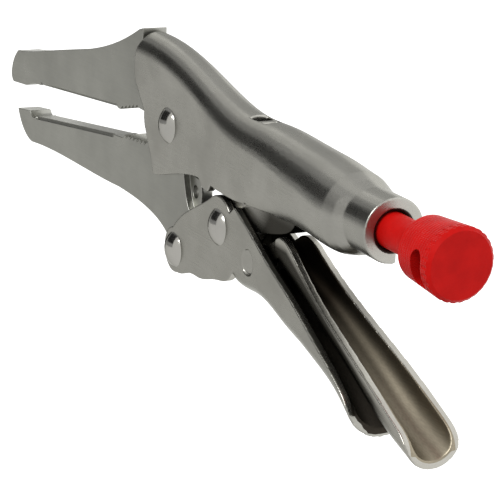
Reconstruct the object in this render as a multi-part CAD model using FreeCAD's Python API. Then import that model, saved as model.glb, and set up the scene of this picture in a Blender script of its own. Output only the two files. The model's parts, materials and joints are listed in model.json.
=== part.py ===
import FreeCAD, Part
import math
import os

# Locking pliers, locked pose, millimetres. X runs from the jaw tips (-) to the
# adjusting knob (+), Y towards the back of the upper handle, Z across the tool.
# While drawing, the jaw pivot sits at the origin; at the end everything moves so
# that the middle of the underside of the whole tool is the origin.

# Pivot centres
JAW_PIVOT = (0.0, 0.0)
HANDLE_PIVOT = (5.8, -30.0)
TOGGLE_PIVOT = (29.8, -17.8)
LINK_END = (67.0, -0.2)
LEVER_PIVOT = (46.0, -21.9)

# Thicknesses across the tool
FLANK_GAP = 6.6
SHEET = 2.0
LEVER_SHEET = 1.8
SIDE_PLAY = 0.1
FLANK_IN = FLANK_GAP / 2
FLANK_OUT = FLANK_IN + SHEET
CORE_HALF = FLANK_IN - SIDE_PLAY
THROUGH = 20.0

# Rivets and the fits that turn on them
SHANK_RADIUS = 3.5
HEAD_RADIUS = 4.4
HEAD_HEIGHT = 2.0
RUNNING = 0.05

JAW_BEVEL = 0.9

# Lobes round the pivots
HUB_RADIUS = 9.5
HUB_GAP = 1.0
JAW_LOBE = 5.5
HANDLE_LOBE = 5.7
LINK_LOBE = 6.8
CHEEK_LOBE = 7.5
LINK_END_LOBE = 3.6
LEVER_LOBE = 4.2

# Dimples in the handle's flanks that the lever turns on
DIMPLE_RADIUS = 3.0
DIMPLE_BOSS = 1.6
DIMPLE_TILT = 12.0

# Adjusting screw, collar and knob
SCREW_RADIUS = 4.0
SCREW_TIP_GAP = 1.6
SCREW_STEM_RADIUS = 2.6
STEM_COVER = 1.1
STEM_GAP = 0.1
COLLAR_RADIUS = 7.05
COLLAR_FRONT = 88.0
COLLAR_END = 100.3
COLLAR_MOUTH = 0.6
SEAM_NEAR = -0.9
SEAM_FAR = -3.4
NECK_RADIUS = 3.9
NECK_START = 96.0
NECK_END = 107.5
SHOULDER_X = 113.5
SHOULDER_RADIUS = 6.95
KNOB_RADIUS = 7.8
KNOB_END = 125.9
KNOB_EDGE = 0.8
KNOB_SLOT_X = 120.9
KNOB_SLOT_WIDTH = 4.2
KNOB_SLOT_HEIGHT = 8.5
KNOB_SLOT_TURN = 15.0
KNOB_FLUTES = 28
FLUTE_RADIUS = 0.75
FLUTE_LENGTH = 2.4
FLUTE_DEPTH = 0.2

# Return spring: coil, its hole in the jaw's tongue and the strap it hooks over
SPRING_RADIUS = 2.4
SPRING_WIRE = 0.4
SPRING_PITCH = 1.05
SPRING_TURNS = 23
SPRING_HOLE = (9.2, -14.8)
SPRING_HOLE_RADIUS = 1.6
TONGUE_HALF = 1.5
STRAP_X = 42.2
STRAP_WIDTH = 2.0
STRAP_TOP = 9.9
STRAP_THICK = 1.4
STRAP_HOLE = 8.0
STRAP_SPAN = 4.4
WIRE_GAP = 0.3


def flat(point, z=0.0):
    return FreeCAD.Vector(point[0], point[1], z)


def around(centre, radius, degrees):
    angle = math.radians(degrees)
    return (centre[0] + radius * math.cos(angle), centre[1] + radius * math.sin(angle))


def arc(centre, radius, start, end):
    """Step of an outline: round the centre from one angle to the other."""
    return ("arc", around(centre, radius, (start + end) / 2), around(centre, radius, end))


def outline(steps):
    """Closed wire through points, ("arc", middle, end) and ("curve", points) steps."""
    here = flat(steps[0])
    first = here
    edges = []
    for step in steps[1:]:
        if step[0] == "arc":
            end = flat(step[2])
            edges.append(Part.Arc(here, flat(step[1]), end).toShape())
        elif step[0] == "curve":
            points = [here] + [flat(point) for point in step[1]]
            curve = Part.BSplineCurve()
            curve.interpolate(points)
            end = points[-1]
            edges.append(curve.toShape())
        else:
            end = flat(step)
            edges.append(Part.makeLine(here, end))
        here = end
    if here.distanceToPoint(first) > 1e-6:
        edges.append(Part.makeLine(here, first))
    return Part.Wire(edges)


def plate(steps, low, high):
    """Flat plate with the given outline between two heights."""
    face = Part.Face(outline(steps))
    face.translate(FreeCAD.Vector(0, 0, low))
    return face.extrude(FreeCAD.Vector(0, 0, high - low))


def pin(centre, radius, low, high):
    """Round bar along Z."""
    return Part.makeCylinder(radius, high - low, flat(centre, low))


def rod(start, end, radius):
    """Round bar between two points with a ball at its far end."""
    run = end - start
    bar = Part.makeCylinder(radius, run.Length, start, run)
    return bar.fuse(Part.makeSphere(radius, end))


def slot_section(x, top, bottom, half):
    """Upright slot with round ends, across the tool at x."""
    upper = top - half
    lower = bottom + half
    near_top = FreeCAD.Vector(x, upper, half)
    near_low = FreeCAD.Vector(x, lower, half)
    far_low = FreeCAD.Vector(x, lower, -half)
    far_top = FreeCAD.Vector(x, upper, -half)
    crown = Part.Arc(far_top, FreeCAD.Vector(x, top, 0), near_top).toShape()
    near = Part.makeLine(near_top, near_low)
    floor = Part.Arc(near_low, FreeCAD.Vector(x, bottom, 0), far_low).toShape()
    far = Part.makeLine(far_low, far_top)
    return Part.Wire([crown, near, floor, far])


def folded(stations, sheet, ruled=False):
    """Sheet bent round a slot that changes along X: (x, top, bottom, half width)."""
    outside = [slot_section(*station) for station in stations]
    inside = [
        slot_section(x, top - sheet, bottom + sheet, half - sheet)
        for x, top, bottom, half in stations
    ]
    outer = Part.makeLoft(outside, True, ruled)
    return outer.cut(Part.makeLoft(inside, True, ruled))


def turned(profile, centre, axis):
    """Solid of revolution from a closed XY outline."""
    face = Part.Face(outline(profile))
    return face.revolve(flat(centre), axis, 360)


def bevelled(solid, start, end, inward, size):
    """Take both long corners off the working edge that runs from start to end."""
    run = flat(end) - flat(start)
    for face in (FLANK_IN, -FLANK_IN):
        step = -size if face > 0 else size
        corner = flat(start, face)
        deep = corner + FreeCAD.Vector(0, inward * size, 0)
        down = corner + FreeCAD.Vector(0, 0, step)
        wedge = Part.Face(Part.makePolygon([corner, deep, down, corner])).extrude(run)
        solid = solid.cut(wedge)
    return solid


def teeth(start, end, count, depth):
    """Saw-tooth points from start to end, each tooth cut back by depth along Y."""
    points = []
    for number in range(count):
        here = number / count
        there = (number + 0.35) / count
        points.append((start[0] + (end[0] - start[0]) * here,
                       start[1] + (end[1] - start[1]) * here))
        points.append((start[0] + (end[0] - start[0]) * there,
                       start[1] + (end[1] - start[1]) * there + depth))
    points.append(end)
    return points


def rivet(centre):
    """Pin with a domed head on either side of the flanks."""
    body = pin(centre, SHANK_RADIUS, -FLANK_OUT, FLANK_OUT)
    ball = (HEAD_RADIUS ** 2 + HEAD_HEIGHT ** 2) / (2 * HEAD_HEIGHT)
    for side in (1, -1):
        ball_centre = flat(centre, side * (FLANK_OUT + HEAD_HEIGHT - ball))
        low = FLANK_OUT if side > 0 else -FLANK_OUT - HEAD_HEIGHT
        head_space = pin(centre, HEAD_RADIUS, low, low + HEAD_HEIGHT)
        body = body.fuse(Part.makeSphere(ball, ball_centre).common(head_space))
    return body.removeSplitter()


def fixed_jaw():
    gum = teeth((-22.8, -0.5), (-34.4, -3.4), 5, 0.9)
    root = HUB_RADIUS + HUB_GAP
    steps = [
        (-116.3, -9.3),
        ("curve", [(-115.5, -6.9), (-113.6, -4.2), (-110.8, -2.0)]),
        ("curve", [(-93.5, 0.9), (-78.3, 4.1), (-63.8, 6.9), (-43.9, 11.7),
                   (-31.3, 16.1), (-23.4, 19.6)]),
        (-20.9, 20.3),
        (-20.9, 13.9),
        (2.0, 12.0),
        around(JAW_PIVOT, root, 79),
        arc(JAW_PIVOT, root, 79, 185),
        (-19.7, -0.6),
    ] + gum + [
        (-36.4, -3.3),
        (-92.7, -8.8),
        ("curve", [(-95.9, -9.0), (-98.6, -9.5), (-101.5, -10.4), (-105.7, -11.2)]),
        (-114.4, -12.0),
        ("curve", [(-115.6, -11.3), (-116.3, -9.3)]),
    ]
    jaw = plate(steps, -FLANK_IN, FLANK_IN)
    return bevelled(jaw, (-92.7, -8.8), (-36.4, -3.3), 1, JAW_BEVEL)


def movable_jaw():
    gum = teeth((-31.0, -9.4), (-17.0, -8.2), 6, -0.9)
    steps = [
        (-110.6, -19.2),
        (-100.6, -17.9),
        ("arc", (-98.4, -19.3), (-95.9, -18.6)),
        (-38.7, -11.0),
        (-32.6, -10.6),
    ] + gum + [
        ("curve", [(-12.8, -6.6), around(JAW_PIVOT, HUB_RADIUS, 197)]),
        arc(JAW_PIVOT, HUB_RADIUS, 197, -48),
        ("curve", [(5.6, -10.5), (6.6, -14.4), (8.1, -17.8), (10.6, -20.8),
                   around(HANDLE_PIVOT, JAW_LOBE, 30)]),
        arc(HANDLE_PIVOT, JAW_LOBE, 30, -165),
        ("curve", [(-3.4, -28.4), (-7.9, -26.6), (-14.2, -25.3), (-20.6, -24.6),
                   (-33.9, -24.2)]),
        ("curve", [(-62.0, -25.0), (-92.9, -26.2), (-99.0, -26.8)]),
        ("curve", [(-104.7, -25.2), (-108.2, -22.6), (-110.6, -19.2)]),
    ]
    tongue = [
        (4.0, -10.8),
        (11.0, -11.2),
        ("curve", [(12.3, -12.8), (12.7, -15.7), (12.3, -20.0)]),
        around(HANDLE_PIVOT, JAW_LOBE - 0.2, 20),
        (4.0, -27.0),
    ]
    jaw = plate(steps, -CORE_HALF, CORE_HALF).fuse(plate(tongue, -TONGUE_HALF, TONGUE_HALF))
    jaw = bevelled(jaw, (-95.9, -18.6), (-38.7, -11.0), -1, JAW_BEVEL)
    jaw = jaw.cut(pin(JAW_PIVOT, SHANK_RADIUS + RUNNING, -FLANK_OUT, FLANK_OUT))
    jaw = jaw.cut(pin(HANDLE_PIVOT, SHANK_RADIUS + RUNNING, -FLANK_OUT, FLANK_OUT))
    return jaw.cut(pin(SPRING_HOLE, SPRING_HOLE_RADIUS, -FLANK_OUT, FLANK_OUT)).removeSplitter()


def upper_handle_shell():
    axis_y = LINK_END[1]
    front = [
        (-26.0, 19.6, -26.0, FLANK_OUT),
        (-9.0, 19.3, -26.0, FLANK_OUT),
        (5.0, 17.1, -24.0, FLANK_OUT),
        (17.0, 14.2, -21.0, FLANK_OUT + 0.3),
        (28.0, 11.7, -17.5, FLANK_OUT + 0.8),
        (40.0, 10.5, -13.8, FLANK_OUT + 1.5),
        (51.0, 10.75, -11.2, FLANK_OUT + 2.2),
        (60.0, FLANK_OUT + 5.1, -FLANK_OUT - 4.3, FLANK_OUT + 2.7),
        (68.0, FLANK_OUT + 4.65, -FLANK_OUT - 3.7, FLANK_OUT + 3.1),
        (76.0, FLANK_OUT + 4.2, -FLANK_OUT - 4.0, FLANK_OUT + 3.5),
        (85.0, FLANK_OUT + 3.3, -FLANK_OUT - 4.2, FLANK_OUT + 3.55),
    ]
    rear = [
        front[-1],
        (88.5, FLANK_OUT + 2.3, -FLANK_OUT - 3.4, FLANK_OUT + 2.8),
        (91.5, FLANK_OUT + 1.6, -FLANK_OUT - 2.0, FLANK_OUT + 1.75),
    ]
    silhouette = [
        (-19.0, 22.0),
        (-19.3, 17.8),
        ("curve", [(-20.7, 14.4), (-21.2, 10.9), (-20.0, 6.6)]),
        (-14.6, 0.6),
        ("curve", [(-14.0, -3.0), (-12.4, -6.2), (-10.2, -9.8), (-8.6, -13.9)]),
        (-7.4, -14.3),
        ("curve", [(0.0, -12.4), (9.4, -10.0), (19.0, -8.6)]),
        (21.2, -10.5),
        (24.8, -10.5),
        (26.0, -8.8),
        (40.0, -8.8),
        ("curve", [(49.0, -8.1), (59.2, -7.4)]),
        (60.5, -30.0),
        (110.0, -30.0),
        (110.0, 22.0),
    ]
    shell = folded(front, SHEET).fuse(folded(rear, SHEET, True))
    collar = Part.makeCylinder(COLLAR_RADIUS, COLLAR_END - COLLAR_FRONT,
                               flat((COLLAR_FRONT, axis_y)), FreeCAD.Vector(1, 0, 0))
    bore = Part.makeCylinder(SCREW_RADIUS + RUNNING, COLLAR_END,
                             flat((60.0, axis_y)), FreeCAD.Vector(1, 0, 0))
    shell = shell.fuse(collar).cut(bore)
    shell = shell.common(plate(silhouette, -THROUGH, THROUGH))
    bore_radius = SCREW_RADIUS + RUNNING
    mouth = Part.makeCone(bore_radius, bore_radius + COLLAR_MOUTH, COLLAR_MOUTH,
                          flat((COLLAR_END - COLLAR_MOUTH, axis_y)), FreeCAD.Vector(1, 0, 0))
    shell = shell.cut(mouth)
    near_edge = [(45.0, 6.5), (60.0, 4.8), (68.0, 3.6), (80.0, SEAM_NEAR), (110.0, SEAM_NEAR)]
    far_edge = [(110.0, SEAM_FAR), (80.0, SEAM_FAR), (68.0, -3.6), (60.0, -4.8), (45.0, -6.5)]
    gap = plate(near_edge + far_edge, 0, 30)
    gap.rotate(FreeCAD.Vector(0, 0, 0), FreeCAD.Vector(1, 0, 0), 90)
    shell = shell.cut(gap.translated(FreeCAD.Vector(0, -3.0, 0)))
    shell = shell.cut(pin(JAW_PIVOT, SHANK_RADIUS, -THROUGH, THROUGH))
    window = Part.makeBox(STRAP_HOLE, 8.0, STRAP_SPAN,
                          FreeCAD.Vector(STRAP_X - STRAP_HOLE / 2, 5.0, -STRAP_SPAN / 2))
    strap = Part.makeBox(STRAP_WIDTH, STRAP_THICK, STRAP_SPAN + 1.0,
                         FreeCAD.Vector(STRAP_X - STRAP_WIDTH / 2, STRAP_TOP - STRAP_THICK,
                                        -STRAP_SPAN / 2 - 0.5))
    return shell.cut(window).fuse(strap).removeSplitter()


def lower_handle():
    channel = [
        (38.0, 30.0, -30.2, FLANK_OUT),
        (47.0, 30.0, -30.1, FLANK_OUT + 0.3),
        (56.0, 30.0, -31.0, FLANK_OUT + 0.75),
        (64.0, 30.0, -33.0, FLANK_OUT + 1.25),
        (73.0, 30.0, -34.8, FLANK_OUT + 1.9),
        (82.0, 30.0, -37.0, FLANK_OUT + 2.5),
        (90.0, 30.0, -39.4, FLANK_OUT + 3.05),
        (96.5, 30.0, -42.7, FLANK_OUT + 3.3),
        (106.0, 30.0, -48.4, FLANK_OUT + 3.4),
    ]
    rim = [
        (37.9, -11.0),
        ("curve", [(47.0, -14.8), (59.0, -19.8), (70.6, -23.7), (81.5, -28.2), (89.0, -31.3),
                   (94.2, -33.9), (97.9, -36.4), (99.7, -39.4)]),
        (100.6, -50.0),
        (37.9, -50.0),
    ]
    cheeks = [
        around(TOGGLE_PIVOT, CHEEK_LOBE, 40),
        arc(TOGGLE_PIVOT, CHEEK_LOBE, 40, 125),
        ("curve", [(19.6, -14.9), (11.8, -18.9), around(HANDLE_PIVOT, HANDLE_LOBE, 100)]),
        arc(HANDLE_PIVOT, HANDLE_LOBE, 100, 290),
        ("curve", [(11.0, -34.8), (14.4, -33.6), (20.9, -33.1), (29.1, -31.0),
                   (37.0, -28.0), (39.0, -25.2), (41.0, -24.9)]),
        (41.0, -12.2),
        (37.9, -11.0),
    ]
    handle = folded(channel, SHEET).common(plate(rim, -THROUGH, THROUGH))
    for low in (FLANK_IN, -FLANK_OUT):
        handle = handle.fuse(plate(cheeks, low, low + SHEET))
    # The lever turns on two dimples pressed in from the flanks, deepest at the rear.
    boss = pin(LEVER_PIVOT, DIMPLE_BOSS, FLANK_IN - LEVER_SHEET, FLANK_IN + SHEET / 2)
    dish = pin(LEVER_PIVOT, DIMPLE_RADIUS, FLANK_OUT, FLANK_OUT + 4.0)
    dish.rotate(flat((LEVER_PIVOT[0] - DIMPLE_RADIUS, LEVER_PIVOT[1]), FLANK_OUT),
                FreeCAD.Vector(0, 1, 0), DIMPLE_TILT)
    mirror = (FreeCAD.Vector(0, 0, 0), FreeCAD.Vector(0, 0, 1))
    handle = handle.fuse([boss, boss.mirror(*mirror)]).cut([dish, dish.mirror(*mirror)])
    handle = handle.cut(pin(HANDLE_PIVOT, SHANK_RADIUS, -THROUGH, THROUGH))
    return handle.cut(pin(TOGGLE_PIVOT, SHANK_RADIUS, -THROUGH, THROUGH)).removeSplitter()


def toggle_link():
    steps = [
        around(TOGGLE_PIVOT, LINK_LOBE, 115),
        arc(TOGGLE_PIVOT, LINK_LOBE, 115, 330),
        ("curve", [(39.5, -17.6), (50.0, -14.2), (58.0, -12.2), (62.5, -9.9), (65.0, -6.2),
                   around(LINK_END, LINK_END_LOBE, -75)]),
        arc(LINK_END, LINK_END_LOBE, -75, 110),
        ("curve", [(58.0, 0.2), (45.0, -5.4), around(TOGGLE_PIVOT, LINK_LOBE, 115)]),
    ]
    link = plate(steps, -CORE_HALF, CORE_HALF)
    return link.cut(pin(TOGGLE_PIVOT, SHANK_RADIUS + RUNNING, -20, 20))


def release_lever():
    nose = [
        (38.0, 10.0, -40.0, FLANK_IN - 0.15),
        (47.0, 10.0, -40.0, FLANK_IN - 0.05),
        (58.0, 10.0, -40.0, FLANK_IN + 0.6),
    ]
    channel = [
        (56.0, 10.0, -19.8, FLANK_IN + 0.5),
        (62.0, 10.0, -21.9, FLANK_IN + 0.8),
        (70.0, 10.0, -24.8, FLANK_IN + 1.3),
        (78.0, 10.0, -27.9, FLANK_IN + 1.85),
        (88.0, 10.0, -32.0, FLANK_IN + 2.35),
        (98.0, 10.0, -36.3, FLANK_IN + 2.8),
        (108.0, 10.0, -40.6, FLANK_IN + 3.1),
        (114.0, 10.0, -42.6, FLANK_IN + 3.2),
        (124.0, 10.0, -45.8, FLANK_IN + 3.2),
    ]
    back = [
        (55.9, -14.0),
        ("curve", [(57.5, -13.0), (59.5, -12.75), (62.0, -13.3), (66.5, -15.6), (76.8, -20.8),
                   (88.2, -25.3), (98.0, -28.9), (107.0, -32.4), (114.5, -35.5), (119.2, -38.1),
                   (120.7, -41.0)]),
        (120.4, -50.0),
        (55.9, -50.0),
    ]
    front = [
        (39.0, -22.6),
        ("arc", (38.8, -21.0), (40.4, -20.2)),
        ("curve", [(44.5, -18.1), (50.0, -16.6), (55.9, -14.0)]),
        (57.5, -13.0),
        (57.8, -17.6),
        ("curve", [(53.0, -21.0), around(LEVER_PIVOT, LEVER_LOBE, -50)]),
        arc(LEVER_PIVOT, LEVER_LOBE, -50, -150),
    ]
    lever = folded(channel, LEVER_SHEET).common(plate(back, -THROUGH, THROUGH))
    cheeks = folded(nose, LEVER_SHEET).common(plate(front, -THROUGH, THROUGH))
    lever = lever.fuse(cheeks)
    hole = pin(LEVER_PIVOT, DIMPLE_BOSS + RUNNING, -THROUGH, THROUGH)
    return lever.cut(hole).removeSplitter()


def adjusting_screw():
    along = FreeCAD.Vector(1, 0, 0)
    tip = LINK_END[0] + LINK_END_LOBE + SCREW_TIP_GAP
    thread = Part.makeCylinder(SCREW_RADIUS, NECK_START - tip, flat((tip, LINK_END[1])), along)
    stem_end = KNOB_SLOT_X - KNOB_SLOT_WIDTH / 2 - STEM_COVER - STEM_GAP
    stem = Part.makeCylinder(SCREW_STEM_RADIUS, stem_end - NECK_START,
                             flat((NECK_START, LINK_END[1])), along)
    return thread.fuse(stem).removeSplitter()


def adjusting_knob():
    along = FreeCAD.Vector(1, 0, 0)
    y = LINK_END[1]
    centre = flat((0.0, y))
    stem_end = KNOB_SLOT_X - KNOB_SLOT_WIDTH / 2 - STEM_COVER
    profile = [
        (NECK_START + STEM_GAP, y),
        (NECK_START + STEM_GAP, y + NECK_RADIUS),
        (NECK_END, y + NECK_RADIUS),
        ("curve", [(110.5, y + 4.7), (SHOULDER_X - 0.7, y + SHOULDER_RADIUS - 0.5)]),
        (SHOULDER_X, y + SHOULDER_RADIUS),
        (KNOB_END - KNOB_EDGE, y + KNOB_RADIUS),
        (KNOB_END, y + KNOB_RADIUS - KNOB_EDGE),
        (KNOB_END, y),
    ]
    knob = turned(profile, (0.0, y), along)
    knob = knob.cut(Part.makeCylinder(SCREW_STEM_RADIUS + RUNNING, stem_end - NECK_START,
                                      flat((NECK_START, y)), along))
    across = KNOB_SLOT_HEIGHT / 2 - KNOB_SLOT_WIDTH / 2
    half = KNOB_SLOT_WIDTH / 2
    slot = plate([
        (KNOB_SLOT_X - half, y - across),
        (KNOB_SLOT_X - half, y + across),
        ("arc", (KNOB_SLOT_X, y + across + half), (KNOB_SLOT_X + half, y + across)),
        (KNOB_SLOT_X + half, y - across),
        ("arc", (KNOB_SLOT_X, y - across - half), (KNOB_SLOT_X - half, y - across)),
    ], -THROUGH, THROUGH)
    slot.rotate(centre, along, KNOB_SLOT_TURN)
    knob = knob.cut(slot)
    flutes = []
    ring = KNOB_RADIUS + FLUTE_RADIUS - FLUTE_DEPTH
    for number in range(KNOB_FLUTES):
        spot = around((y, 0.0), ring, 360 * number / KNOB_FLUTES)
        start = FreeCAD.Vector(KNOB_END - FLUTE_LENGTH, spot[0], spot[1])
        flutes.append(Part.makeCylinder(FLUTE_RADIUS, 2 * FLUTE_LENGTH, start, along))
    return knob.cut(Part.makeCompound(flutes))


def return_spring():
    """Coil between the jaw's tongue and the strap in the shell's back, with both end hooks."""
    near = FreeCAD.Vector(0, 0, SPRING_RADIUS)
    hole = flat(SPRING_HOLE)
    anchor = flat((STRAP_X - STRAP_WIDTH / 2 - 3.0, STRAP_TOP - 4.0))
    run = anchor - hole
    length = SPRING_PITCH * SPRING_TURNS
    coil_start = hole + run * ((run.Length - length) / 2 / run.Length)
    coil_end = coil_start + run * (length / run.Length)
    helix = Part.makeHelix(SPRING_PITCH, length, SPRING_RADIUS)
    ring = Part.Wire(Part.makeCircle(SPRING_WIRE, FreeCAD.Vector(SPRING_RADIUS, 0, 0),
                                     FreeCAD.Vector(0, 1, 0)))
    coil = Part.Wire(helix).makePipeShell([ring], True, True)
    across = FreeCAD.Vector(0, 0, 1)
    turn = FreeCAD.Rotation(across, run.cross(across), run, "ZXY")
    coil.Placement = FreeCAD.Placement(coil_start, turn)

    over = SPRING_WIRE + WIRE_GAP
    strap_low = STRAP_X - STRAP_WIDTH / 2 - over
    strap_high = STRAP_X + STRAP_WIDTH / 2 + over
    front = [coil_start + near, hole + run * 0.06 + near, hole + near * 0.95, hole - near * 0.95]
    rear = [
        coil_end + near,
        flat((strap_low - 1.5, STRAP_TOP - 3.5), SPRING_RADIUS / 2),
        flat((strap_low, STRAP_TOP - 1.0)),
        flat((strap_low, STRAP_TOP + over)),
        flat((strap_high, STRAP_TOP + over)),
        flat((strap_high, STRAP_TOP - 1.4)),
    ]
    for path in (front, rear):
        for start, end in zip(path, path[1:]):
            coil = coil.fuse(rod(start, end, SPRING_WIRE))
    return coil.removeSplitter()


def main():
    os.makedirs("parts", exist_ok=True)
    nodes = {
        "upper_handle_shell": upper_handle_shell(),
        "fixed_jaw": fixed_jaw(),
        "jaw_pivot_rivet": rivet(JAW_PIVOT),
        "movable_jaw": movable_jaw(),
        "handle_pivot_rivet": rivet(HANDLE_PIVOT),
        "lower_handle": lower_handle(),
        "toggle_rivet": rivet(TOGGLE_PIVOT),
        "toggle_link": toggle_link(),
        "release_lever": release_lever(),
        "adjusting_screw": adjusting_screw(),
        "adjusting_knob": adjusting_knob(),
        "return_spring": return_spring(),
    }
    box = Part.makeCompound(list(nodes.values())).optimalBoundingBox()
    shift = FreeCAD.Vector(-box.Center.x, -box.Center.y, -box.ZMin)
    for name, shape in nodes.items():
        shape.translate(shift)
        shape.exportStep("parts/" + name + ".step")


main()
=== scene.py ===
import json
import math

import bmesh
import bpy
from mathutils import Matrix, Vector


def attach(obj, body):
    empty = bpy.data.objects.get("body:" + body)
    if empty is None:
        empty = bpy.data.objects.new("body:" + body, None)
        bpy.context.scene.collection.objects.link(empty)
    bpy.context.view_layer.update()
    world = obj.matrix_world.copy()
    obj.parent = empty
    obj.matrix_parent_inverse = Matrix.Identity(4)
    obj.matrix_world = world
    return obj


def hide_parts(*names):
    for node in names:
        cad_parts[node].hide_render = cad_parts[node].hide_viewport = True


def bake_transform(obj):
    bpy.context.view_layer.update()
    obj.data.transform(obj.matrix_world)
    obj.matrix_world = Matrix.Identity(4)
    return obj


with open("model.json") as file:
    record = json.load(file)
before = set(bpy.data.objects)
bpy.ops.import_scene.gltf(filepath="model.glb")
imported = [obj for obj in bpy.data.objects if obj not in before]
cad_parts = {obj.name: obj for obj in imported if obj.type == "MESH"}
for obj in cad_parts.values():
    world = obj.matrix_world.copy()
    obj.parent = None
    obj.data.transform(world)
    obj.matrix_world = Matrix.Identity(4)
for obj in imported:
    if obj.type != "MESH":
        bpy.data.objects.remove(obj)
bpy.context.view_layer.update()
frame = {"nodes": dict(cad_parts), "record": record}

MM = 0.001
NODES = frame["nodes"]
BODY_OF = {node: body for body, nodes in frame["record"]["behaviour"]["bodies"].items()
           for node in nodes}

# Nickel plate. Texture scales are in cycles per millimetre, bumps are (strength, metres).
EDGE_TINT = (0.62, 0.62, 0.60)
CLOUD_SCALE = (0.07, 0.07, 0.07)
STREAK_SCALE = (0.10, 3.2, 3.2)
GRAIN_SCALE = (5.0, 5.0, 5.0)
COARSE_DETAIL = 4.0
GRAIN_DETAIL = 3.0
NOISE_ROUGHNESS = 0.6
NOISE_LOW = 0.3
NOISE_HIGH = 0.7
TONE_LOW = 0.32
TONE_HIGH = 0.68
DULLER = 0.05
SHINIER = 0.04
STREAK_BUMP = (0.08, 0.00005)
GRAIN_BUMP = (0.08, 0.00003)

# Painted shade on the inside and nested faces of the bent channels.
RIM_SHARE = 0.82
FACING_IN = -0.0008
INSIDE_ROUGHER = 0.18
INSIDE_STREAK = 0.75
# Painted shade below rims where one piece nests in the next.
SHADE_COLOUR = (0.02, 0.018, 0.015)
NESTED_SHADE_SHARE = 0.95
SHADE_FADE = 10.0

# Red plastic knob.
RED_DEEP = (0.31, 0.0025, 0.002)
RED_BRIGHT = (0.38, 0.004, 0.003)
RED_SCALE = (0.25, 0.25, 0.25)
RED_DULL = 0.50
RED_SHINY = 0.38
RED_SPECULAR = 0.06
RED_GRAIN_BUMP = (0.15, 0.00006)
KNOB_AXIS_Y = -0.2
KNURL_COUNT = 58
KNURL_LEAD = 3.6
KNURL_FROM = 114.2
KNURL_FADE_IN = 1.0
KNURL_TO = 125.0
KNURL_FADE_OUT = 0.2
KNURL_BUMP = (0.45, 0.00010)

# Return spring, in millimetres from the jaw pivot.
WIRE_DARK = (0.22, 0.20, 0.17)
WIRE_LIGHT = (0.42, 0.40, 0.35)
WIRE_SCALE = (0.6, 0.6, 0.6)
WIRE_DULL = 0.42
WIRE_SHINY = 0.28
WIRE_SIDES = 8
SPRING_HOLE = (9.2, -14.8)
SPRING_ANCHOR = (38.2, 5.9)
SPRING_RADIUS = 2.4
SPRING_WIRE = 0.4
SPRING_LENGTH = 24.15
SPRING_TURNS = 23
SPRING_STEPS = 16
HOOK_LEAD = 2
STRAP_HOOK = [(39.0, 6.4, 1.2), (40.5, 8.9, 0.0), (40.6, 10.4, 0.0), (41.2, 10.6, 0.0),
              (43.2, 10.6, 0.0), (43.9, 10.3, 0.0), (43.9, 8.5, 0.0)]

# Mesh work: lengths in metres, angles in degrees.
WELD = 2e-6
FLAT_ANGLE = 0.4
SHARP_ANGLE = 32
BEVEL_SEGMENTS = 2
SMOOTH_SHARE = 0.5

# Studio and camera, in metres; the camera's place is in millimetres from the jaw pivot.
FLOOR_DEPTH = 0.40
FLOOR_HALF = 4.0
FLOOR_PAINT = 0.9
FLOOR_GLOW = 0.50
BOARD_PAINT = 0.01
DARK_BOARD = 0.02
MIDDLE_BOARD = 0.40
PALE_BOARD = 0.75
ROOM_COLOUR = (1.0, 0.995, 0.98, 1.0)
ROOM_STRENGTH = 0.9
KEY_PLACE = (0.25, 0.55, 0.55)
KEY_SIZE = (0.5, 0.4)
KEY_POWER = 6.0
CAMERA_PLACE = (435.07, 108.78, 204.73)
CAMERA_RIGHT = Vector((0.44594, 0.04099, -0.89412))
CAMERA_UP = Vector((-0.26862, 0.95903, -0.09001))
CAMERA_BACK = Vector((0.85380, 0.28032, 0.43869))
CAMERA_LENS = 144.0
CAMERA_SENSOR = 36.0
CAMERA_REACH = 20.0


def rest_point(joint):
    """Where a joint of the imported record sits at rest."""
    for entry in frame["record"]["behaviour"]["joints"]:
        if entry["name"] == joint:
            return Vector(entry["pos_m"])
    raise ValueError(joint)


JAW_PIVOT = rest_point("jaw_hinge")


def at(x, y, z=0.0):
    """A place given in millimetres from the jaw pivot, in the part's frame."""
    return JAW_PIVOT + Vector((x, y, z)) * MM


# ---------------------------------------------------------------- node helpers

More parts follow.
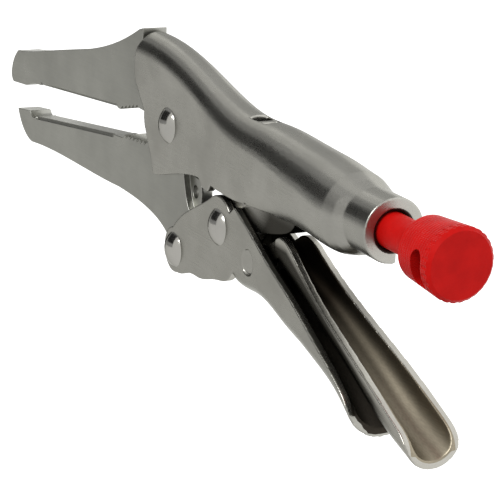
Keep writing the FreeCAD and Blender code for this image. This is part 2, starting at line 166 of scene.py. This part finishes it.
class Shader:
    """Short names for building a node material."""

    def __init__(self, name):
        self.material = bpy.data.materials.new(name)
        self.material.use_nodes = True
        self.tree = self.material.node_tree
        self.inputs = self.tree.nodes["Principled BSDF"].inputs
        self.coords = self.node("ShaderNodeTexCoord").outputs
        self.parts = {}

    def node(self, kind, **values):
        made = self.tree.nodes.new(kind)
        for key, value in values.items():
            setattr(made, key, value)
        return made

    def link(self, source, target):
        self.tree.links.new(source, target)

    def fill(self, socket, value):
        """Links a socket to another node, or sets it to a number or a colour."""
        if isinstance(value, bpy.types.NodeSocket):
            self.link(value, socket)
        elif isinstance(value, tuple):
            socket.default_value = (*value, 1.0)
        else:
            socket.default_value = value

    def surface(self, **values):
        """Fills the surface shader's own sockets, with _ for each space in a name."""
        for name, value in values.items():
            self.fill(self.inputs[name.replace("_", " ")], value)

    def noise(self, scale, detail, turn=(0, 0, 0)):
        """Noise in object space, stretched by a scale and turned by degrees."""
        mapping = self.node("ShaderNodeMapping")
        mapping.inputs["Scale"].default_value = [value / MM for value in scale]
        mapping.inputs["Rotation"].default_value = [math.radians(angle) for angle in turn]
        self.link(self.coords["Object"], mapping.inputs["Vector"])
        made = self.node("ShaderNodeTexNoise")
        self.link(mapping.outputs["Vector"], made.inputs["Vector"])
        made.inputs["Scale"].default_value = 1.0
        made.inputs["Detail"].default_value = detail
        made.inputs["Roughness"].default_value = NOISE_ROUGHNESS
        return made.outputs["Fac"]

    def ramp(self, source, low, low_colour, high, high_colour):
        """A colour that runs from one to the other as the source goes from low to high."""
        made = self.node("ShaderNodeValToRGB")
        stops = ((low, low_colour), (high, high_colour))
        for element, (place, colour) in zip(made.color_ramp.elements, stops):
            element.position = place
            element.color = (*colour, 1.0)
        self.link(source, made.inputs["Fac"])
        return made.outputs["Color"]

    def mix(self, factor, first, second):
        made = self.node("ShaderNodeMix", data_type="RGBA")
        for socket, value in ((0, factor), (6, first), (7, second)):
            self.fill(made.inputs[socket], value)
        return made.outputs[2]

    def split(self, kind):
        """The X, Y and Z of a texture coordinate: Object places or Normal directions."""
        if kind not in self.parts:
            made = self.node("ShaderNodeSeparateXYZ")
            self.link(self.coords[kind], made.inputs[0])
            self.parts[kind] = [made.outputs[axis] for axis in "XYZ"]
        return self.parts[kind]

    def maths(self, kind, first, second=0.0):
        made = self.node("ShaderNodeMath", operation=kind)
        self.fill(made.inputs[0], first)
        self.fill(made.inputs[1], second)
        return made.outputs[0]

    def remap(self, source, low, high, to_low, to_high):
        made = self.node("ShaderNodeMapRange")
        self.link(source, made.inputs["Value"])
        for name, value in (("From Min", low), ("From Max", high),
                            ("To Min", to_low), ("To Max", to_high)):
            made.inputs[name].default_value = value
        return made.outputs["Result"]

    def spread(self, noise, to_low, to_high):
        """Noise stretched over its usual range."""
        return self.remap(noise, NOISE_LOW, NOISE_HIGH, to_low, to_high)

    def along(self, start, end, at_start, at_end):
        """A value that changes between two stations along the tool and is even past them."""
        return self.remap(self.split("Object")[0], at(start, 0).x, at(end, 0).x,
                          at_start, at_end)

    def bump(self, source, shape, below=None):
        made = self.node("ShaderNodeBump")
        self.link(source, made.inputs["Height"])
        made.inputs["Strength"].default_value, made.inputs["Distance"].default_value = shape
        if below is not None:
            self.link(below, made.inputs["Normal"])
        return made.outputs["Normal"]


# ------------------------------------------------------------------ materials

def hollow(s, half_width, opening, sheet):
    """1 on the inner faces of a bent channel, 0 on its outside and along its rim. It marks
    where the inside's painted shade and rougher finish go.

    half_width and opening are (x, value) pairs in millimetres at the channel's two ends.
    """
    _, y, z = s.split("Object")
    _, normal_y, normal_z = s.split("Normal")
    (start, half_start), (end, half_end) = half_width
    half = s.along(start, end, half_start * MM, half_end * MM)
    across = s.maths("SUBTRACT", z, JAW_PIVOT.z)
    core = s.maths("LESS_THAN", s.maths("ABSOLUTE", across),
                   s.maths("SUBTRACT", half, RIM_SHARE * sheet * MM))
    (start, y_start), (end, y_end) = opening
    middle = s.along(start, end, at(0, y_start).y, at(0, y_end).y)
    outward = s.maths("ADD",
                      s.maths("MULTIPLY", normal_y, s.maths("SUBTRACT", y, middle)),
                      s.maths("MULTIPLY", normal_z, across))
    return s.maths("MULTIPLY", core, s.maths("LESS_THAN", outward, FACING_IN))


def shaded_below(s, colour, rim, depth, unshaded_from):
    """Painted shade: darkens what lies below the line rim where the piece nests, fully from
    depth on, as far as the station given last.
    """
    (start, y_start), (end, y_end) = rim
    line = s.along(start, end, at(0, y_start).y, at(0, y_end).y)
    below = s.remap(s.maths("SUBTRACT", line, s.split("Object")[1]),
                    0.0, depth * MM, 0.0, NESTED_SHADE_SHARE)
    short = s.along(unshaded_from - SHADE_FADE, unshaded_from, 1.0, 0.0)
    return s.mix(s.maths("MULTIPLY", below, short), colour, SHADE_COLOUR)


def plated(name, light, dark, rough, streak_turn, streak, fade=None, inside=None, nested=None):
    """Satin nickel plate: cloudy tone, fine streaks along the tool and small dents.

    streak is the share of the streaks in the tone, streak_turn their angle in degrees.
    fade is (x_start, x_end, factor at the start), a tone that changes along the tool.
    inside gives hollow's values and the two tones of the painted shade on a channel's inside,
    with where each is reached. nested gives the values for a painted shade below a rim where
    the piece nests.
    """
    s = Shader(name)
    cloud = s.noise(CLOUD_SCALE, COARSE_DETAIL)
    fine = s.noise(STREAK_SCALE, COARSE_DETAIL, (0, 0, streak_turn))
    grain = s.noise(GRAIN_SCALE, GRAIN_DETAIL)
    tone = s.maths("ADD", s.maths("MULTIPLY", cloud, 1.0 - streak),
                   s.maths("MULTIPLY", fine, streak))
    colour = s.ramp(tone, TONE_LOW, dark, TONE_HIGH, light)
    roughness = s.spread(tone, rough + DULLER, rough - SHINIER)
    if fade:
        start, end, factor = fade
        colour = s.mix(s.along(start, end, factor, 1.0), (0.0, 0.0, 0.0), colour)
    if nested:
        # Painted shade below the rim where the piece nests in the next one.
        colour = shaded_below(s, colour, **nested)
    if inside:
        # Painted shade inside the channel: darkest deep in, lighter and streaked towards the
        # open end.
        mask = hollow(s, inside["half_width"], inside["opening"], inside["sheet"])
        shade_blend = s.maths("MULTIPLY", s.along(inside["deep_to"], inside["shallow_shade_from"], 0.0, 1.0),
                       s.spread(fine, INSIDE_STREAK, 1.0))
        colour = s.mix(mask, colour, s.mix(shade_blend, inside["deep"], inside["shallow_shade"]))
        roughness = s.maths("ADD", roughness, s.maths("MULTIPLY", mask, INSIDE_ROUGHER))
    s.surface(Base_Color=colour, Roughness=roughness, Metallic=1.0, Specular_Tint=EDGE_TINT,
              Normal=s.bump(grain, GRAIN_BUMP, s.bump(fine, STREAK_BUMP)))
    return s.material


def red_plastic():
    """Moulded red plastic: fine crossed knurl round the side, smooth end, uneven tone."""
    s = Shader("red_plastic")
    grain = s.noise(GRAIN_SCALE, GRAIN_DETAIL)
    x, y, z = s.split("Object")
    angle = s.maths("ARCTAN2", s.maths("SUBTRACT", z, JAW_PIVOT.z),
                    s.maths("SUBTRACT", y, at(0, KNOB_AXIS_Y).y))
    turns = s.maths("MULTIPLY", angle, float(KNURL_COUNT))
    lead = s.maths("MULTIPLY", x, KNURL_LEAD / MM)
    left = s.maths("SINE", s.maths("ADD", turns, lead))
    right = s.maths("SINE", s.maths("SUBTRACT", turns, lead))
    band = s.maths("MULTIPLY", s.along(KNURL_FROM - KNURL_FADE_IN, KNURL_FROM, 0.0, 1.0),
                   s.along(KNURL_TO, KNURL_TO + KNURL_FADE_OUT, 1.0, 0.0))
    knurl = s.maths("MULTIPLY", s.maths("MULTIPLY", left, right), band)
    s.surface(Base_Color=s.ramp(s.noise(RED_SCALE, GRAIN_DETAIL),
                                NOISE_LOW, RED_DEEP, NOISE_HIGH, RED_BRIGHT),
              Roughness=s.spread(grain, RED_DULL, RED_SHINY), Specular_IOR_Level=RED_SPECULAR,
              Normal=s.bump(grain, RED_GRAIN_BUMP, s.bump(knurl, KNURL_BUMP)))
    return s.material


def wire_steel():
    """Zinc-plated spring wire, patchy."""
    s = Shader("spring_wire")
    cloud = s.noise(WIRE_SCALE, COARSE_DETAIL)
    s.surface(Base_Color=s.ramp(cloud, NOISE_LOW, WIRE_DARK, NOISE_HIGH, WIRE_LIGHT),
              Roughness=s.spread(cloud, WIRE_DULL, WIRE_SHINY), Metallic=1.0)
    return s.material


# --------------------------------------------------------------------- pieces

def paint(piece, material):
    piece.data.materials.clear()
    piece.data.materials.append(material)


def shade_smooth(mesh):
    for polygon in mesh.polygons:
        polygon.use_smooth = True


def stand_in(node, suffix):
    """A welded copy of a CAD node's mesh that replaces it and rides on its body."""
    piece = NODES[node].copy()
    piece.data = NODES[node].data.copy()
    piece.name = node + suffix
    piece.parent = None
    piece.matrix_world = Matrix.Identity(4)
    bpy.context.scene.collection.objects.link(piece)
    mesh = bmesh.new()
    mesh.from_mesh(piece.data)
    bmesh.ops.remove_doubles(mesh, verts=mesh.verts, dist=WELD)
    mesh.to_mesh(piece.data)
    mesh.free()
    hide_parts(node)
    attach(piece, BODY_OF[node])
    return piece


def bake_modifiers(piece):
    """Turns what the modifiers make into the piece's own mesh."""
    view = bpy.context.evaluated_depsgraph_get()
    view.update()
    made = bpy.data.meshes.new_from_object(piece.evaluated_get(view))
    piece.modifiers.clear()
    piece.data = made


def bevelled(node, width):
    """Machined piece: flat faces kept flat, every sharp edge broken by a small bevel."""
    piece = stand_in(node, "_bevelled")
    mesh = bmesh.new()
    mesh.from_mesh(piece.data)
    bmesh.ops.dissolve_limit(mesh, angle_limit=math.radians(FLAT_ANGLE), verts=mesh.verts,
                             edges=mesh.edges)
    mesh.to_mesh(piece.data)
    mesh.free()
    bevel = piece.modifiers.new("bevel", "BEVEL")
    bevel.width = width * MM
    bevel.segments = BEVEL_SEGMENTS
    bevel.limit_method = "ANGLE"
    bevel.angle_limit = math.radians(SHARP_ANGLE)
    bevel.use_clamp_overlap = False
    shade_smooth(piece.data)
    piece.modifiers.new("weighted", "WEIGHTED_NORMAL")
    return piece


def pressed(node, voxel, passes):
    """Stamped sheet: edges rolled over softly all round, as tumbling and plating leave them."""
    piece = stand_in(node, "_pressed")
    remesh = piece.modifiers.new("remesh", "REMESH")
    remesh.mode = "VOXEL"
    remesh.voxel_size = voxel * MM
    smooth = piece.modifiers.new("smooth", "SMOOTH")
    smooth.factor = SMOOTH_SHARE
    smooth.iterations = passes
    bake_modifiers(piece)
    shade_smooth(piece.data)
    return piece


def tube(points, radius, sides):
    """Round wire through a list of points, closed at both ends."""
    mesh = bmesh.new()
    rings = []
    side = Vector((0, 0, 1))
    for number, point in enumerate(points):
        ahead = points[min(number + 1, len(points) - 1)] - points[max(number - 1, 0)]
        ahead.normalize()
        side = (side - ahead * side.dot(ahead)).normalized()
        other = ahead.cross(side)
        rings.append([mesh.verts.new(point + (side * math.cos(turn) + other * math.sin(turn))
                                     * radius)
                      for turn in (2 * math.pi * step / sides for step in range(sides))])
    for ring, after in zip(rings, rings[1:]):
        for step in range(sides):
            mesh.faces.new((ring[step], ring[(step + 1) % sides],
                            after[(step + 1) % sides], after[step]))
    mesh.faces.new(reversed(rings[0]))
    mesh.faces.new(rings[-1])
    return mesh


def spring():
    """Closed coil with a hook through the jaw's tongue and one over the shell's strap."""
    hole = at(*SPRING_HOLE)
    anchor = at(*SPRING_ANCHOR)
    run = (anchor - hole).normalized()
    across = Vector((0, 0, 1))
    aside = run.cross(across)
    middle = (hole + anchor) / 2
    half = SPRING_LENGTH / 2 * MM
    radius = SPRING_RADIUS * MM
    points = [hole - across * radius, hole + across * radius,
              hole + run * MM * HOOK_LEAD + across * radius]
    steps = SPRING_TURNS * SPRING_STEPS
    for step in range(steps + 1):
        turn = 2 * math.pi * step / SPRING_STEPS
        points.append(middle + run * half * (2 * step / steps - 1)
                      + (across * math.cos(turn) + aside * math.sin(turn)) * radius)
    points += [at(*place) for place in STRAP_HOOK]
    mesh = tube(points, SPRING_WIRE * MM, WIRE_SIDES)
    data = bpy.data.meshes.new("return_spring_coil")
    mesh.to_mesh(data)
    mesh.free()
    piece = bpy.data.objects.new("return_spring_coil", data)
    bpy.context.scene.collection.objects.link(piece)
    shade_smooth(data)
    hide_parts("return_spring")
    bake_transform(piece)
    return piece


# ---------------------------------------------------- looks, in mm from the jaw pivot

# Painted shade on the channel insides: the deep tone far in, the shallow tone towards the open
# end.
SHELL_INSIDE = {"half_width": ((8.0, 5.3), (76.0, 8.8)), "opening": ((0.0, 0.0), (100.0, 0.0)),
                "sheet": 2.0, "deep_to": 0.0, "shallow_shade_from": 100.0,
                "deep": (0.05, 0.045, 0.04), "shallow_shade": (0.05, 0.045, 0.04)}
HANDLE_INSIDE = {"half_width": ((38.0, 5.3), (96.0, 8.6)),
                 "opening": ((38.0, -5.0), (99.0, -33.0)),
                 "sheet": 2.0, "deep_to": 60.0, "shallow_shade_from": 100.0,
                 "deep": (0.010, 0.009, 0.007), "shallow_shade": (0.035, 0.030, 0.024)}
LEVER_INSIDE = {"half_width": ((58.0, 3.9), (114.0, 6.7)),
                "opening": ((56.0, -8.0), (119.0, -32.0)),
                "sheet": 1.8, "deep_to": 72.0, "shallow_shade_from": 122.0,
                "deep": (0.018, 0.014, 0.010), "shallow_shade": (0.30, 0.265, 0.20)}
# Painted shade below a rim, where the lever nests in the lower handle and the link sits in the
# shell.
LEVER_NESTED = {"rim": ((62.0, -13.9), (114.5, -36.0)), "depth": 1.5, "unshaded_from": 116.0}
LINK_NESTED = {"rim": ((28.0, -30.0), (52.0, 4.0)), "depth": 14.0, "unshaded_from": 75.0}

shell_steel = plated("plated_sheet", (0.38, 0.375, 0.345), (0.31, 0.305, 0.28), 0.27,
                     0.0, 0.25, inside=SHELL_INSIDE)
jaw_steel = plated("plated_forging", (0.38, 0.38, 0.35), (0.32, 0.32, 0.295), 0.30,
                   -5.0, 0.3, fade=(15.0, -60.0, 0.80))
handle_steel = plated("plated_handle", (0.36, 0.355, 0.325), (0.29, 0.285, 0.26), 0.27,
                      20.0, 0.25, inside=HANDLE_INSIDE)
lever_steel = plated("plated_lever", (0.40, 0.39, 0.355), (0.32, 0.31, 0.28), 0.26,
                     22.0, 0.3, inside=LEVER_INSIDE, nested=LEVER_NESTED)
link_steel = plated("plated_link", (0.36, 0.355, 0.325), (0.30, 0.29, 0.27), 0.28,
                    25.0, 0.3, nested=LINK_NESTED)
rivet_steel = plated("polished_rivet", (0.46, 0.45, 0.42), (0.38, 0.375, 0.35), 0.13, 0.0, 0.1)
screw_steel = plated("screw_steel", (0.36, 0.35, 0.33), (0.24, 0.23, 0.21), 0.25, 0.0, 0.3)
knob_red = red_plastic()
spring_wire = wire_steel()

LOOKS = {
    "upper_handle_shell": shell_steel,
    "fixed_jaw": jaw_steel,
    "movable_jaw": jaw_steel,
    "jaw_pivot_rivet": rivet_steel,
    "handle_pivot_rivet": rivet_steel,
    "toggle_rivet": rivet_steel,
    "lower_handle": handle_steel,
    "release_lever": lever_steel,
    "toggle_link": link_steel,
    "adjusting_screw": screw_steel,
    "adjusting_knob": knob_red,
    "return_spring": spring_wire,
}
BEVELS = {"fixed_jaw": 0.15, "movable_jaw": 0.15, "toggle_link": 0.25}
# Voxel in millimetres and passes of smoothing.
PRESSINGS = {"upper_handle_shell": (0.26, 4), "lower_handle": (0.24, 4),
             "release_lever": (0.22, 5)}

for name, look in LOOKS.items():
    paint(NODES[name], look)
for name, width in BEVELS.items():
    paint(bevelled(name, width), LOOKS[name])
for name, (voxel, passes) in PRESSINGS.items():
    paint(pressed(name, voxel, passes), LOOKS[name])
paint(spring(), spring_wire)


# ------------------------------------------------------- floor, light and camera

def flat(name, corners, tone, glow):
    """A four-cornered studio board in matt grey paint, glowing evenly by the given amount."""
    material = bpy.data.materials.new(name)
    material.use_nodes = True
    inputs = material.node_tree.nodes["Principled BSDF"].inputs
    inputs["Base Color"].default_value = (tone, tone, tone, 1.0)
    inputs["Roughness"].default_value = 1.0
    inputs["Specular IOR Level"].default_value = 0.0
    inputs["Emission Color"].default_value = (1.0, 1.0, 1.0, 1.0)
    inputs["Emission Strength"].default_value = glow
    data = bpy.data.meshes.new(name)
    data.from_pydata(corners, [], [(0, 1, 2, 3)])
    data.materials.append(material)
    made = bpy.data.objects.new(name, data)
    bpy.context.scene.collection.objects.link(made)
    return made


def floor():
    """Plain pale floor well below the tool."""
    sides = ((-1, -1), (1, -1), (1, 1), (-1, 1))
    corners = [(x * FLOOR_HALF, y * FLOOR_HALF, -FLOOR_DEPTH) for x, y in sides]
    board = flat("floor", corners, FLOOR_PAINT, FLOOR_GLOW)


def seen_by(slope, angle, distance):
    """Where a face leaning slope along X and turned angle from the flank sees the studio."""
    turn = math.radians(angle)
    normal = Vector((slope, math.sin(turn), math.cos(turn))).normalized()
    return (2 * normal.dot(CAMERA_BACK) * normal - CAMERA_BACK) * distance


def mirrored_board(name, distance, slopes, angles, glow):
    """A board that the faces between two slopes and two angles mirror, out of the picture."""
    low, high = slopes
    first, last = angles
    corners = [seen_by(low, first, distance), seen_by(high, first, distance),
               seen_by(high, last, distance), seen_by(low, last, distance)]
    made = flat(name, corners, BOARD_PAINT, glow)
    made.visible_camera = False
    made.visible_shadow = False
    made.visible_diffuse = False


def key_light():
    """One soft light from above the knob end."""
    data = bpy.data.lights.new("key", "AREA")
    data.shape = "RECTANGLE"
    data.size, data.size_y = KEY_SIZE
    data.energy = KEY_POWER
    light = bpy.data.objects.new("key", data)
    turn = (-Vector(KEY_PLACE)).to_track_quat("-Z", "Y")
    light.matrix_world = Matrix.Translation(KEY_PLACE) @ turn.to_matrix().to_4x4()
    bpy.context.scene.collection.objects.link(light)


def studio():
    """An even white room with a soft light and the boards that the steel mirrors."""
    floor()
    mirrored_board("shoulder_board", 0.70, (-0.10, 0.36), (20.0, 42.0), DARK_BOARD)
    mirrored_board("shoulder_shade", 1.00, (-0.14, 0.40), (12.0, 54.0), MIDDLE_BOARD)
    mirrored_board("rivet_board", 0.55, (-0.50, -0.15), (-2.0, 40.0), DARK_BOARD)
    mirrored_board("crown_shade", 0.80, (-0.30, 0.50), (68.0, 112.0), PALE_BOARD)
    world = bpy.data.worlds.new("room")
    bpy.context.scene.world = world
    world.use_nodes = True
    sky = world.node_tree.nodes["Background"]
    sky.inputs["Color"].default_value = ROOM_COLOUR
    sky.inputs["Strength"].default_value = ROOM_STRENGTH
    key_light()


def camera():
    """Long lens from the knob end, with the back of the upper handle towards the top."""
    data = bpy.data.cameras.new("camera")
    data.lens = CAMERA_LENS
    data.sensor_width = CAMERA_SENSOR
    data.clip_end = CAMERA_REACH
    made = bpy.data.objects.new("camera", data)
    made.matrix_world = Matrix.Translation(at(*CAMERA_PLACE)) @ Matrix(
        (CAMERA_RIGHT, CAMERA_UP, CAMERA_BACK)).transposed().to_4x4()
    bpy.context.scene.collection.objects.link(made)
    bpy.context.scene.camera = made


studio()
camera()
bpy.context.scene.view_settings.view_transform = "Standard"
